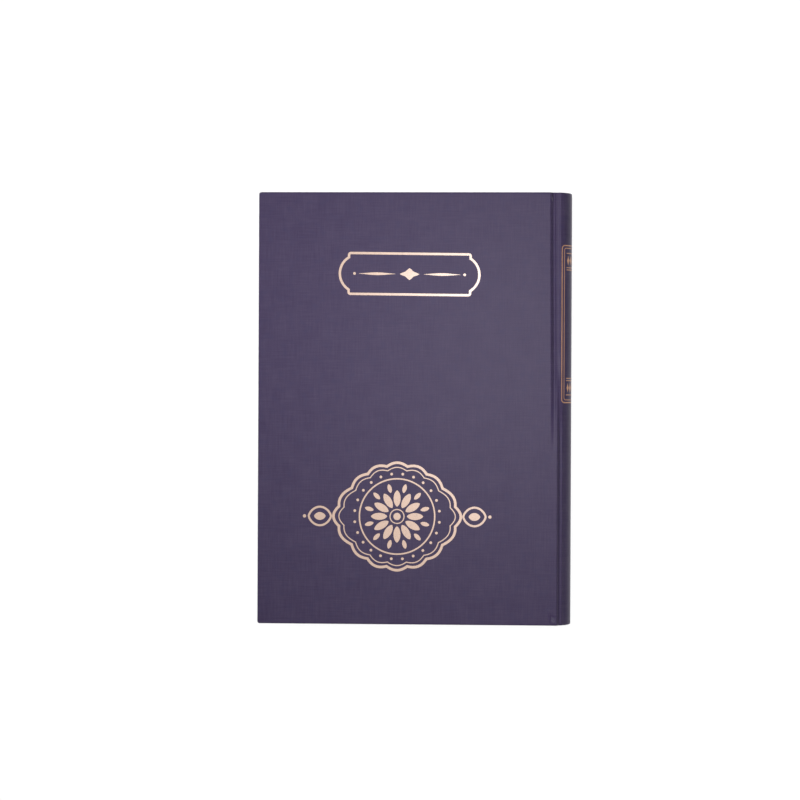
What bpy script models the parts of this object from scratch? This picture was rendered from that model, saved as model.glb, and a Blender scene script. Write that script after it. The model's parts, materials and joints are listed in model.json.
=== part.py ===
"""Case-bound account book, closed, lying on its back cover with its rounded spine to the right.

Metres, +Z up. The origin is the middle of the footprint, on the surface the book lies on.
X runs from the fore-edge to the spine, Y from tail to head. Everything is made for the front
half and turned over about the middle of the thickness for the back half.
"""

import math

import bmesh
import bpy

# Driving dimensions of the case
OVERALL_WIDTH = 0.220
COVER_HEIGHT = 0.303
THICKNESS = 0.028
CLOTH = 0.00045
BOARD = 0.0024
BOARD_WIDTH = 0.2027
BOARD_CORNER_RADIUS = 0.0011
BOARD_EDGE_RADIUS = 0.00035
TURN_IN = 0.015
GLUE_GAP = 0.0001
FREE_GAP = 0.0002

# Driving dimensions of the rounded spine
SPINE_RADIUS = 0.0132
SPINE_HALF_ANGLE = math.radians(68)
SPINE_CARD = 0.0008
SPINE_STEPS = 24
MULL = 0.00025
MULL_LENGTH = 0.250
MULL_HALF_ANGLE = math.radians(66)
MULL_FLANGE_WIDTH = 0.025
LINING = 0.00025
LINING_LENGTH = 0.266
LINING_HALF_ANGLE = math.radians(60)
THREAD_RADIUS = 0.00025
THREAD_ZIGZAG = 0.001
THREAD_POINTS_PER_SECTION = 2
SEWING_STATIONS = 5
SEWING_PITCH = 0.055
HEADBAND_RADIUS = 0.0009
HEADBAND_HALF_ANGLE = math.radians(58)
HEADBAND_SINK = 0.0009
SEATING_GAP = 0.0003

# Driving dimensions of the joint between board and spine
JOINT_FLOOR_DROP = 0.00225
JOINT_SLOPE_WIDTH = 0.0028
JOINT_LAND = 0.0006
JOINT_RISE = 0.0004
JOINT_SEGMENTS = 20
COVER_HINGE_FROM_BOARD = 0.0041
COVER_HINGE_BELOW_FACE = 0.0006

# Driving dimensions of the text block
SECTION_COUNT = 16
PAGE_WIDTH = 0.207
PAGE_HEIGHT = 0.296
ENDPAPER = 0.0002
PASTEDOWN_MARGIN = 0.003
FLYLEAF_HINGE_X = 0.094
FIRST_GUTTER_X = 0.092
GUTTER_CLEARANCE = 0.0002
FIRST_OPEN_ANGLE = math.radians(125)
LAST_OPEN_ANGLE = math.radians(76)
ROUND_END_STEPS = 8

# Worked out from the driving dimensions
FORE_EDGE_X = -OVERALL_WIDTH / 2
MID_Z = THICKNESS / 2
SPINE_CENTRE_X = OVERALL_WIDTH / 2 - SPINE_RADIUS
BOARD_TOP = THICKNESS - CLOTH - GLUE_GAP
BOARD_BOTTOM = BOARD_TOP - BOARD
TURN_IN_TOP = BOARD_BOTTOM - GLUE_GAP
TURN_IN_BOTTOM = TURN_IN_TOP - CLOTH
PASTEDOWN_BOTTOM = TURN_IN_BOTTOM - GLUE_GAP - ENDPAPER
FLYLEAF_Z = PASTEDOWN_BOTTOM - FREE_GAP - ENDPAPER / 2
BLOCK_TOP = FLYLEAF_Z - ENDPAPER / 2 - FREE_GAP
SECTION_PITCH = (BLOCK_TOP - MID_Z) * 2 / SECTION_COUNT
SECTION_THICKNESS = SECTION_PITCH - FREE_GAP
BOARD_LEFT = FORE_EDGE_X + CLOTH + GLUE_GAP
BOARD_RIGHT = BOARD_LEFT + BOARD_WIDTH
CLOTH_RIGHT = BOARD_RIGHT + GLUE_GAP
BOARD_HALF_HEIGHT = COVER_HEIGHT / 2 - CLOTH - GLUE_GAP
COVER_PIVOT = (BOARD_RIGHT + COVER_HINGE_FROM_BOARD, 0.0, THICKNESS - COVER_HINGE_BELOW_FACE)

# Radii of the layers over the folds, from the outside in
CARD_OUT = SPINE_RADIUS - CLOTH - GLUE_GAP
CARD_IN = CARD_OUT - SPINE_CARD
SPINE_TURN_IN_OUT = CARD_IN - GLUE_GAP
SPINE_TURN_IN_IN = SPINE_TURN_IN_OUT - CLOTH
LINING_OUT = SPINE_TURN_IN_IN + GLUE_GAP
MULL_OUT = LINING_OUT - LINING - GLUE_GAP
MULL_IN = MULL_OUT - MULL
THREAD_CENTRE = MULL_IN - GLUE_GAP - THREAD_RADIUS
FOLD_RADIUS = THREAD_CENTRE - THREAD_RADIUS - GLUE_GAP


def clear_scene():
    for old in list(bpy.data.objects):
        bpy.data.objects.remove(old, do_unlink=True)


def new_collection(name):
    collection = bpy.data.collections.new(name)
    bpy.context.scene.collection.children.link(collection)
    return collection


def finish(name, colour, roughness):
    material = bpy.data.materials.new(name)
    material.use_nodes = True
    shader = material.node_tree.nodes["Principled BSDF"]
    shader.inputs["Base Color"].default_value = (*colour, 1.0)
    shader.inputs["Roughness"].default_value = roughness
    shader.inputs["Metallic"].default_value = 0.0
    return material


clear_scene()
BOOK = new_collection("account_book")
CUTTERS = new_collection("cutters")
BOOK_CLOTH = finish("book_cloth", (0.075, 0.058, 0.118), 0.55)
GREYBOARD = finish("greyboard", (0.33, 0.29, 0.23), 0.9)
CARD = finish("spine_card", (0.45, 0.40, 0.32), 0.9)
GAUZE = finish("gauze", (0.72, 0.68, 0.58), 0.95)
KRAFT = finish("kraft_paper", (0.42, 0.28, 0.16), 0.85)
LEDGER_PAPER = finish("ledger_paper", (0.86, 0.84, 0.76), 0.85)
ENDSHEET = finish("endsheet", (0.88, 0.87, 0.83), 0.8)
LINEN_THREAD = finish("linen_thread", (0.80, 0.77, 0.68), 0.9)
HEADBAND_SILK = finish("headband_silk", (0.12, 0.10, 0.22), 0.6)


def add_object(name, data, material, collection=BOOK, parent=None):
    """Link one object, and keep its place in the world when it hangs on a pivot."""
    thing = bpy.data.objects.new(name, data)
    collection.objects.link(thing)
    if material:
        data.materials.append(material)
    if parent:
        thing.parent = parent
    return thing


def smooth(mesh, angle=math.radians(35)):
    mesh.shade_smooth()
    mesh.set_sharp_from_angle(angle=angle)


def mesh_from(name, shape):
    bmesh.ops.recalc_face_normals(shape, faces=shape.faces[:])
    mesh = bpy.data.meshes.new(name)
    shape.to_mesh(mesh)
    shape.free()
    smooth(mesh)
    return mesh


def rounded_slab(name, low, high, corner_radius, edge_radius):
    """A flat slab between two corners, rounded in plan and then along its face edges."""
    size = [b - a for a, b in zip(low, high)]
    centre = [(a + b) / 2 for a, b in zip(low, high)]
    shape = bmesh.new()
    bmesh.ops.create_cube(shape, size=1.0)
    bmesh.ops.scale(shape, vec=size, verts=shape.verts)
    bmesh.ops.translate(shape, vec=centre, verts=shape.verts)
    upright = [e for e in shape.edges if abs(e.verts[0].co.z - e.verts[1].co.z) > size[2] / 2]
    bmesh.ops.bevel(shape, geom=upright, offset=corner_radius, segments=4, profile=0.5, affect="EDGES")
    square = math.radians(60)
    rims = [e for e in shape.edges if e.calc_face_angle() > square]
    bmesh.ops.bevel(shape, geom=rims, offset=edge_radius, segments=3, profile=0.5, affect="EDGES")
    return mesh_from(name, shape)


def block(name, low, high):
    size = [b - a for a, b in zip(low, high)]
    centre = [(a + b) / 2 for a, b in zip(low, high)]
    shape = bmesh.new()
    bmesh.ops.create_cube(shape, size=1.0)
    bmesh.ops.scale(shape, vec=size, verts=shape.verts)
    bmesh.ops.translate(shape, vec=centre, verts=shape.verts)
    return mesh_from(name, shape)


def cut(body, cutter_mesh):
    """Take a cutter out of an object with a Boolean, and keep the cutter as a wire guide."""
    cutter = add_object(cutter_mesh.name, cutter_mesh, None, CUTTERS)
    cutter.hide_render = True
    cutter.display_type = "WIRE"
    boolean = body.modifiers.new(cutter_mesh.name, "BOOLEAN")
    boolean.operation = "DIFFERENCE"
    boolean.solver = "EXACT"
    boolean.object = cutter


def bake(body):
    """Put an object's modifiers into its mesh, so that its twin on the other side can share it."""
    bpy.context.view_layer.update()
    evaluated = body.evaluated_get(bpy.context.evaluated_depsgraph_get())
    mesh = bpy.data.meshes.new_from_object(evaluated)
    body.modifiers.clear()
    body.data = mesh
    smooth(mesh)


def turned_over(name, source, parent=None):
    """The back half's twin: the same mesh, turned half round about the book's middle plane."""
    twin = bpy.data.objects.new(name, source.data)
    BOOK.objects.link(twin)
    if parent:
        twin.parent = parent
        twin.location = source.location
        twin.rotation_euler = source.rotation_euler
        return twin
    twin.location = (source.location.x, -source.location.y, THICKNESS - source.location.z)
    twin.rotation_euler = (source.rotation_euler.x + math.pi, 0.0, 0.0)
    return twin


def pivot(name, place, turn=0.0):
    empty = bpy.data.objects.new(name, None)
    empty.empty_display_type = "ARROWS"
    empty.empty_display_size = 0.02
    empty.location = place
    empty.rotation_euler = (turn, 0.0, 0.0)
    BOOK.objects.link(empty)
    return empty


def on_pivot(name, mesh, material, hinge):
    piece = add_object(name, mesh, material, parent=hinge)
    piece.location = [-value for value in COVER_PIVOT]
    return piece


def spun(name, profile, half_angle):
    """Spin a closed profile of (radius, height) points about the spine's own centre line."""
    shape = bmesh.new()
    start = [(r * math.cos(half_angle), y, r * math.sin(half_angle)) for r, y in profile]
    face = shape.faces.new([shape.verts.new(point) for point in start])
    region = [face, *face.edges, *face.verts]
    bmesh.ops.spin(
        shape, geom=region, cent=(0, 0, 0), axis=(0, 1, 0), angle=2 * half_angle, steps=SPINE_STEPS
    )
    bmesh.ops.remove_doubles(shape, verts=shape.verts, dist=1e-7)
    return mesh_from(name, shape)


def on_spine(name, mesh, material):
    piece = add_object(name, mesh, material)
    piece.location = (SPINE_CENTRE_X, 0.0, MID_Z)
    return piece


def band_profile(inner, outer, length):
    half = length / 2
    return [(inner, -half), (outer, -half), (outer, half), (inner, half)]


def outline(name, points, length, material, place):
    """A closed outline in the XZ plane, extruded along Y to a length, with its origin at a place."""
    curve = bpy.data.curves.new(name, "CURVE")
    curve.dimensions = "2D"
    curve.fill_mode = "BOTH"
    curve.extrude = length / 2
    spline = curve.splines.new("POLY")
    spline.points.add(len(points) - 1)
    for spot, (x, z) in zip(spline.points, points):
        spot.co = (x, z, 0.0, 1.0)
    spline.use_cyclic_u = True
    piece = add_object(name, curve, material)
    piece.location = place
    piece.rotation_euler = (math.pi / 2, 0.0, 0.0)
    return piece


def tube(name, points, radius, resolution, material):
    curve = bpy.data.curves.new(name, "CURVE")
    curve.dimensions = "3D"
    curve.bevel_depth = radius
    curve.bevel_resolution = resolution
    curve.use_fill_caps = True
    spline = curve.splines.new("POLY")
    spline.points.add(len(points) - 1)
    for spot, point in zip(spline.points, points):
        spot.co = (*point, 1.0)
    return add_object(name, curve, material)


def half_round(radius):
    """Points of a half circle that bulges towards +X, from its lower to its upper end."""
    angles = [math.pi * (i / ROUND_END_STEPS - 0.5) for i in range(ROUND_END_STEPS + 1)]
    return [(radius * math.cos(a), radius * math.sin(a)) for a in angles]


# Cover boards, their cloth, and the papers glued inside them


def make_cover(front_hinge, back_hinge):
    low = (BOARD_LEFT, -BOARD_HALF_HEIGHT, BOARD_BOTTOM)
    high = (BOARD_RIGHT, BOARD_HALF_HEIGHT, BOARD_TOP)
    board_mesh = rounded_slab("board", low, high, BOARD_CORNER_RADIUS, BOARD_EDGE_RADIUS)
    board = on_pivot("front_board", board_mesh, GREYBOARD, front_hinge)
    turned_over("back_board", board, back_hinge)

    past_end = BOARD_RIGHT + 2 * TURN_IN
    wall = CLOTH + GLUE_GAP
    wrap_mesh = rounded_slab(
        "cover_wrap",
        [value - wall for value in low],
        (past_end, high[1] + wall, high[2] + wall),
        BOARD_CORNER_RADIUS + wall,
        BOARD_EDGE_RADIUS + wall,
    )
    cavity = rounded_slab(
        "board_space",
        [value - GLUE_GAP for value in low],
        (past_end + TURN_IN, high[1] + GLUE_GAP, high[2] + GLUE_GAP),
        BOARD_CORNER_RADIUS + GLUE_GAP,
        BOARD_EDGE_RADIUS + GLUE_GAP,
    )
    window_half = COVER_HEIGHT / 2 - TURN_IN
    window = block(
        "turn_in_window",
        (FORE_EDGE_X + TURN_IN, -window_half, TURN_IN_BOTTOM - CLOTH),
        (past_end + TURN_IN, window_half, BOARD_BOTTOM + BOARD / 2),
    )
    trim = block(
        "joint_trim",
        (CLOTH_RIGHT, -COVER_HEIGHT, 0.0),
        (past_end + 2 * TURN_IN, COVER_HEIGHT, 2 * THICKNESS),
    )
    wrap = add_object("front_cover_cloth", wrap_mesh, BOOK_CLOTH)
    cut(wrap, cavity)
    cut(wrap, window)
    cut(wrap, trim)
    bake(wrap)
    wrap.parent = front_hinge
    wrap.location = [-value for value in COVER_PIVOT]
    turned_over("back_cover_cloth", wrap, back_hinge)

    flange_mesh = block(
        "mull_flange",
        (BOARD_RIGHT - MULL_FLANGE_WIDTH, -MULL_LENGTH / 2, TURN_IN_TOP - MULL),
        (BOARD_RIGHT, MULL_LENGTH / 2, TURN_IN_TOP),
    )
    flange = on_pivot("front_mull_flange", flange_mesh, GAUZE, front_hinge)
    turned_over("back_mull_flange", flange, back_hinge)

    paper_half = COVER_HEIGHT / 2 - PASTEDOWN_MARGIN
    paper_mesh = block(
        "pastedown",
        (FORE_EDGE_X + PASTEDOWN_MARGIN, -paper_half, PASTEDOWN_BOTTOM),
        (BOARD_RIGHT, paper_half, PASTEDOWN_BOTTOM + ENDPAPER),
    )
    paper = on_pivot("front_pastedown", paper_mesh, ENDSHEET, front_hinge)
    turned_over("back_pastedown", paper, back_hinge)


# Cloth that bends in the joint between board and spine


def ease(t):
    t = min(max(t, 0.0), 1.0)
    return t * t * (3 - 2 * t)


def make_joint_cloth():
    """A trough that drops off the board's edge and climbs a little to the spine's ridge."""
    ridge_x = SPINE_CENTRE_X + SPINE_RADIUS * math.cos(SPINE_HALF_ANGLE) - CLOTH
    left = CLOTH_RIGHT + GLUE_GAP
    shape = bmesh.new()
    bmesh.ops.create_grid(shape, x_segments=JOINT_SEGMENTS, y_segments=1, size=1.0)
    for vertex in shape.verts:
        x = left + (ridge_x - left) * (vertex.co.x + 1) / 2
        fall = JOINT_FLOOR_DROP * ease((x - left - JOINT_LAND) / JOINT_SLOPE_WIDTH)
        climb = JOINT_RISE * ease(1 - (ridge_x - x) / JOINT_SLOPE_WIDTH)
        vertex.co = (x, vertex.co.y * COVER_HEIGHT / 2, THICKNESS - fall + climb)
    mesh = bpy.data.meshes.new("joint_cloth")
    shape.to_mesh(mesh)
    shape.free()
    strip = add_object("front_joint_cloth", mesh, BOOK_CLOTH)
    wall = strip.modifiers.new("thickness", "SOLIDIFY")
    wall.thickness = CLOTH
    wall.offset = -1.0
    wall.use_even_offset = True
    bake(strip)
    turned_over("back_joint_cloth", strip)


# Layers of the rounded spine


def make_spine_layers():
    half = COVER_HEIGHT / 2
    fold_back = half - TURN_IN
    inside = half - CLOTH
    wrapped = [
        (SPINE_RADIUS, -half),
        (SPINE_RADIUS, half),
        (SPINE_TURN_IN_IN, half),
        (SPINE_TURN_IN_IN, fold_back),
        (SPINE_TURN_IN_OUT, fold_back),
        (SPINE_TURN_IN_OUT, inside),
        (SPINE_RADIUS - CLOTH, inside),
        (SPINE_RADIUS - CLOTH, -inside),
        (SPINE_TURN_IN_OUT, -inside),
        (SPINE_TURN_IN_OUT, -fold_back),
        (SPINE_TURN_IN_IN, -fold_back),
        (SPINE_TURN_IN_IN, -half),
    ]
    on_spine("spine_cloth", spun("spine_cloth", wrapped, SPINE_HALF_ANGLE), BOOK_CLOTH)
    card = band_profile(CARD_IN, CARD_OUT, 2 * (inside - GLUE_GAP))
    on_spine("spine_card", spun("spine_card", card, SPINE_HALF_ANGLE), CARD)
    lining = band_profile(LINING_OUT - LINING, LINING_OUT, LINING_LENGTH)
    on_spine("spine_lining", spun("spine_lining", lining, LINING_HALF_ANGLE), KRAFT)
    mull = band_profile(MULL_IN, MULL_OUT, MULL_LENGTH)
    on_spine("spine_mull", spun("spine_mull", mull, MULL_HALF_ANGLE), GAUZE)


# Folded sections: the sewn backs stay on the spine, the leaves turn at the gutter


def section_height(number):
    return BLOCK_TOP - SECTION_PITCH * (number - 0.5)


def nose_x(number):
    """Centre of a fold's round back, which lies on the arc inside the sewing."""
    nose = SECTION_THICKNESS / 2
    reach = FOLD_RADIUS - nose
    return SPINE_CENTRE_X + math.sqrt(reach**2 - (section_height(number) - MID_Z) ** 2)


def open_angle(number):
    """How far a front section has turned when the cover lies fully open."""
    share = (number - 1) / (SECTION_COUNT // 2 - 1)
    return FIRST_OPEN_ANGLE + (LAST_OPEN_ANGLE - FIRST_OPEN_ANGLE) * share


def gutter_x(number):
    """Hinge line of a section, set back from the one above it so that turned leaves lie side by side."""
    x = FIRST_GUTTER_X
    for above in range(1, number):
        angle = open_angle(above)
        room = SECTION_THICKNESS + GLUE_GAP
        x -= (room - SECTION_PITCH * math.cos(angle)) / math.sin(angle)
    return x


def make_sections():
    half = SECTION_THICKNESS / 2
    for number in range(1, SECTION_COUNT // 2 + 1):
        twin = SECTION_COUNT + 1 - number
        z = section_height(number)
        hinge = gutter_x(number)
        back = nose_x(number)

        # Past a right angle the turned leaves lean back over the fold, which starts clear of them
        swing = half * max(1.0, math.tan(open_angle(number) / 2))
        inner = hinge + swing + GUTTER_CLEARANCE - back
        fold_points = [(inner, half), (inner, -half), *half_round(half)]
        fold = outline(
            f"section_{number:02d}_fold", fold_points, PAGE_HEIGHT, LEDGER_PAPER, (back, 0.0, z)
        )
        turned_over(f"section_{twin:02d}_fold", fold)

        fore_edge = back + half - PAGE_WIDTH - hinge
        leaf_points = [(fore_edge, half), (fore_edge, -half), *half_round(half)]
        leaves = outline(
            f"section_{number:02d}_leaves", leaf_points, PAGE_HEIGHT, LEDGER_PAPER, (hinge, 0.0, z)
        )
        turned_over(f"section_{twin:02d}_leaves", leaves)


def make_flyleaves():
    half = ENDPAPER / 2
    fore_edge = nose_x(1) + SECTION_THICKNESS / 2 - PAGE_WIDTH - FLYLEAF_HINGE_X
    points = [(fore_edge, half), (fore_edge, -half), *half_round(half)]
    place = (FLYLEAF_HINGE_X, 0.0, FLYLEAF_Z)
    leaf = outline("front_flyleaf", points, PAGE_HEIGHT, ENDSHEET, place)
    turned_over("back_flyleaf", leaf)


# Thread and headbands on the back of the sections


def on_arc(radius, angle, y):
    return (
        SPINE_CENTRE_X + radius * math.cos(angle),
        y,
        MID_Z + radius * math.sin(angle),
    )


def make_sewing():
    """One row of chain stitch at each station, stepping from fold to fold round the back."""
    end = math.asin((section_height(1) - MID_Z) / THREAD_CENTRE)
    count = SECTION_COUNT * THREAD_POINTS_PER_SECTION
    for station in range(SEWING_STATIONS):
        middle = (station - (SEWING_STATIONS - 1) / 2) * SEWING_PITCH
        points = []
        for step in range(count + 1):
            angle = end - 2 * end * step / count
            side = THREAD_ZIGZAG * math.cos(math.pi * step / THREAD_POINTS_PER_SECTION)
            points.append(on_arc(THREAD_CENTRE, angle, middle + side))
        tube(f"sewing_row_{station + 1}", points, THREAD_RADIUS, 1, LINEN_THREAD)


def make_headbands():
    radius = FOLD_RADIUS - HEADBAND_SINK
    y = PAGE_HEIGHT / 2 + SEATING_GAP + HEADBAND_RADIUS
    for name, side in (("head_headband", 1), ("tail_headband", -1)):
        angles = [HEADBAND_HALF_ANGLE * (1 - 2 * i / SPINE_STEPS) for i in range(SPINE_STEPS + 1)]
        points = [on_arc(radius, angle, side * y) for angle in angles]
        tube(name, points, HEADBAND_RADIUS, 2, HEADBAND_SILK)


front_pivot = pivot("front_cover_pivot", COVER_PIVOT)
back_pivot = pivot(
    "back_cover_pivot", (COVER_PIVOT[0], 0.0, THICKNESS - COVER_PIVOT[2]), math.pi
)
make_cover(front_pivot, back_pivot)
make_joint_cloth()
make_spine_layers()
make_sections()
make_flyleaves()
make_sewing()
make_headbands()

for number in range(1, SECTION_COUNT // 2 + 1):
    degrees = math.degrees(open_angle(number))
    print(f"section {number}: gutter x {gutter_x(number) * 1000:.2f} mm, opens {degrees:.1f} degrees")
print(f"cover pivot at x {COVER_PIVOT[0] * 1000:.2f} mm, z {COVER_PIVOT[2] * 1000:.2f} mm")
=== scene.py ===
# %% [markdown]
# # A cloth-bound account book
#
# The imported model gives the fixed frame: every body, joint and size. This lesson dresses it. The soft
# pieces, that is the cloth, the papers and the foil, become new surfaces worked out with numpy, and
# the pieces that stay hidden in the case keep their solids and get a finish of their own.

# %% Load the frame
import json
import math
from functools import partialmethod

import bmesh
import bpy
import numpy as np
from mathutils import Matrix, Vector


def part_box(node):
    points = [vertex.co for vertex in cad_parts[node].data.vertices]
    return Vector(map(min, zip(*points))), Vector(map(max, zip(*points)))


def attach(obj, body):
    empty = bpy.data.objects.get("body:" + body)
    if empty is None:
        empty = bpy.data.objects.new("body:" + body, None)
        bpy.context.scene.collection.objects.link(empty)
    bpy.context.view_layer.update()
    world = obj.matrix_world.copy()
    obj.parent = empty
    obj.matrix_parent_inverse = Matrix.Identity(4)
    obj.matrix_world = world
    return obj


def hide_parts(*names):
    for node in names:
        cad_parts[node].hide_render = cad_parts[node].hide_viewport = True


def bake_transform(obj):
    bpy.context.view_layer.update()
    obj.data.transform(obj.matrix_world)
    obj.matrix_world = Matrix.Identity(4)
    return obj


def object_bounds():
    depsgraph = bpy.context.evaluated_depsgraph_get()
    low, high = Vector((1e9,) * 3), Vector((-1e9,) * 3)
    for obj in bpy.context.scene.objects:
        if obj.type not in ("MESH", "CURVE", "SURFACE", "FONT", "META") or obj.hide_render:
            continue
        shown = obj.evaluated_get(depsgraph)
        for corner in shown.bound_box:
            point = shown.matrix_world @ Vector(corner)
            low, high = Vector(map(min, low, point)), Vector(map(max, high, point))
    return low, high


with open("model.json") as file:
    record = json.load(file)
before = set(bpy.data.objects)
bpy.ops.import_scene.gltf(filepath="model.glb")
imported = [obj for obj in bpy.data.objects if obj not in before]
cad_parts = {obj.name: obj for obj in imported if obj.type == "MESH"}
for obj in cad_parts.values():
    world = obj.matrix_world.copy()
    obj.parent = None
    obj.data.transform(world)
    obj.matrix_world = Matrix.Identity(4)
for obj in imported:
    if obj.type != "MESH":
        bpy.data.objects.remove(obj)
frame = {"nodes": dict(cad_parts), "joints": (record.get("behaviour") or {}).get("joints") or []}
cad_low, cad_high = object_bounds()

MM = 0.001
joint_place = {joint["name"]: np.array(joint["pos_m"]) for joint in frame["joints"]}
book_top = cad_high.z
half_height = cad_high.y
print(len(frame["nodes"]), "nodes,", len(joint_place), "joints, top at", round(book_top / MM, 2), "mm")

# %% [markdown]
# ## Putting a surface into a mesh
#
# A thin sheet could be cut from a cube or drawn point by point. Here a sheet is a grid of points that a
# formula gives, so one function turns any such grid into a mesh: rows run along the book's height,
# columns run across it, and each point also carries its place on the flat, uncut sheet as its UV.

# %% Surfaces from grids of points
SHARP_ANGLE = math.radians(40)
SAME_POINT = 1e-7


def grid(*parts):
    """Points from arrays of their coordinates, which are stretched to one shape."""
    return np.stack(np.broadcast_arrays(*parts), -1)


def surface(name, points, flat, wear=None, closed=False):
    """A mesh from points[..., row, column], joined to their neighbours by quads, with doubles merged.

    flat holds each point's place on the flat sheet in metres, and wear an optional number from 0 to 1.
    """
    number = np.arange(points[..., 0].size).reshape(points.shape[:-1])
    near, far = number[..., :-1, :], number[..., 1:, :]
    quads = np.stack([near[..., :-1], near[..., 1:], far[..., 1:], far[..., :-1]], -1).reshape(-1, 4)
    mesh = bpy.data.meshes.new(name)
    mesh.from_pydata(points.reshape(-1, 3).tolist(), [], quads.tolist())
    layer = mesh.uv_layers.new(name="flat")
    layer.data.foreach_set("uv", flat.reshape(-1, 2)[quads.ravel()].ravel().astype(np.float32))
    if wear is not None:
        worn = mesh.attributes.new("wear", "FLOAT", "POINT")
        worn.data.foreach_set("value", wear.ravel().astype(np.float32))
    shape = bmesh.new()
    shape.from_mesh(mesh)
    bmesh.ops.remove_doubles(shape, verts=shape.verts, dist=SAME_POINT)
    if closed:
        bmesh.ops.recalc_face_normals(shape, faces=shape.faces)
    shape.to_mesh(mesh)
    shape.free()
    return mesh


def piece_of(name, mesh, material, sharp=SHARP_ANGLE):
    """An object at the origin that shows a mesh, with smooth shading broken at sharp edges."""
    piece = bpy.data.objects.new(name, mesh)
    bpy.context.scene.collection.objects.link(piece)
    mesh.materials.append(material)
    mesh.shade_smooth()
    mesh.set_sharp_from_angle(angle=sharp)
    return piece


def sheet(name, points, flat, wear, material, slot, thickness, side=-1):
    """A piece from a grid, made thick with Solidify; side -1 grows inwards, 0 both ways."""
    piece = piece_of(name, surface(name, points, flat, wear), material)
    wall = piece.modifiers.new("thickness", "SOLIDIFY")
    wall.thickness = thickness
    wall.offset = side
    wall.use_even_offset = True
    bpy.context.view_layer.update()
    solid = bpy.data.meshes.new_from_object(piece.evaluated_get(bpy.context.evaluated_depsgraph_get()))
    piece.modifiers.clear()
    piece.data = solid
    solid.shade_smooth()
    solid.set_sharp_from_angle(angle=SHARP_ANGLE)
    print(name, len(solid.vertices), "points,", len(solid.polygons), "faces")
    return piece


print("edges are sharp from", round(math.degrees(SHARP_ANGLE)), "degrees")

# %% [markdown]
# ## Writing shaders as sums
#
# A finish is easier to read as arithmetic than as a list of links. A wire stands for one socket, and
# adding or multiplying wires adds Math nodes. Every other node comes from one method of the finish.

# %% Wires


class Wire:
    """One output socket of a finish, with arithmetic that adds Math nodes."""

    def __init__(self, finish, socket):
        self.finish = finish
        self.socket = socket

    def math(self, operation, *others):
        return self.finish.node("ShaderNodeMath", {"operation": operation}, dict(enumerate((self, *others))))

    def flipped(self, operation, other):
        return self.finish.node("ShaderNodeMath", {"operation": operation}, {0: other, 1: self})

    def clamp(self, low=0.0, high=1.0):
        return self.math("MINIMUM", high).math("MAXIMUM", low)

    __add__ = __radd__ = partialmethod(math, "ADD")
    __mul__ = __rmul__ = partialmethod(math, "MULTIPLY")
    __sub__ = partialmethod(math, "SUBTRACT")
    __rsub__ = partialmethod(flipped, "SUBTRACT")
    __truediv__ = partialmethod(math, "DIVIDE")
    __rtruediv__ = partialmethod(flipped, "DIVIDE")


print("wires can be added, subtracted, multiplied and divided")

# %% [markdown]
# A finish holds a material and its main shader. It also makes the few patterns that the finishes share:
# a mix of two colours, cloudy noise, and bumps.

# %% Finishes


class Finish:
    """A material, or the world, with its main shader and the method that makes every other node."""

    def __init__(self, name, world=False, **constants):
        self.material = (bpy.data.worlds if world else bpy.data.materials).new(name)
        self.material.use_nodes = True
        self.tree = self.material.node_tree
        self.shader = self.tree.nodes["Background" if world else "Principled BSDF"]
        for socket, value in constants.items():
            self.shader.inputs[socket.replace("_", " ")].default_value = value

    def fill(self, node, values):
        for key, value in values.items():
            socket = node.inputs[key]
            if isinstance(value, Wire):
                self.tree.links.new(value.socket, socket)
            elif socket.type == "RGBA":
                socket.default_value = (*value, 1.0)
            else:
                socket.default_value = value

    def node(self, kind, settings=None, values=None, out=0):
        """A node of a type, with its settings set first, then its sockets' values or links."""
        made = self.tree.nodes.new(kind)
        for key, value in (settings or {}).items():
            setattr(made, key, value)
        self.fill(made, values or {})
        return Wire(self, made.outputs[out])

    def set(self, **values):
        self.fill(self.shader, {key.replace("_", " "): value for key, value in values.items()})

    def mix(self, share, first, second):
        """A colour between two colours."""
        return self.node("ShaderNodeMix", {"data_type": "RGBA"}, {0: share, 6: first, 7: second}, 2)

    def noise(self, place, scale, detail=2.0, stretch=(1.0, 1.0, 1.0)):
        """Cloudy noise from 0 to 1 about a half, with so many clouds to the metre."""
        seen = self.node("ShaderNodeMapping", {}, {"Vector": place, "Scale": stretch})
        return self.node("ShaderNodeTexNoise", {}, {"Vector": seen, "Scale": scale, "Detail": detail}, "Fac")

    def made(self, colour, roughness, height, depth, strength):
        """The material with its colour, roughness and bumps: a height from 0 to 1, so deep in metres."""
        bump = self.node("ShaderNodeBump", {}, {"Height": height, "Distance": depth, "Strength": strength})
        self.set(Base_Color=colour, Roughness=roughness, Normal=bump)
        return self.material

    def flat_place(self):
        return self.node("ShaderNodeUVMap", {"uv_map": "flat"})

    def object_place(self):
        return self.node("ShaderNodeTexCoord", {}, {}, "Object")

    def wear(self):
        return self.node("ShaderNodeAttribute", {"attribute_name": "wear"}, {}, "Fac")

    def ray(self, kind):
        """1 for a ray of one kind, such as Camera or Shadow."""
        return self.node("ShaderNodeLightPath", {}, {}, f"Is {kind} Ray")

    def split(self, place):
        """The three coordinates of a place, as wires."""
        first = self.node("ShaderNodeSeparateXYZ", {}, {0: place})
        return [Wire(self, output) for output in first.socket.node.outputs]


print("shader helpers ready")

# %% [markdown]
# ## Book cloth
#
# The case is covered with a dyed and filled cotton cloth. Close up it is a plain weave with thicker
# threads here and there, from a step away it is an even violet with a satin sheen. The pattern follows
# the flat cloth, so the threads run on from the board over the joint to the spine. A picture of cloth
# would be quicker, but a weave from sine waves and stretched noise has no seams and no size limit.

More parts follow.
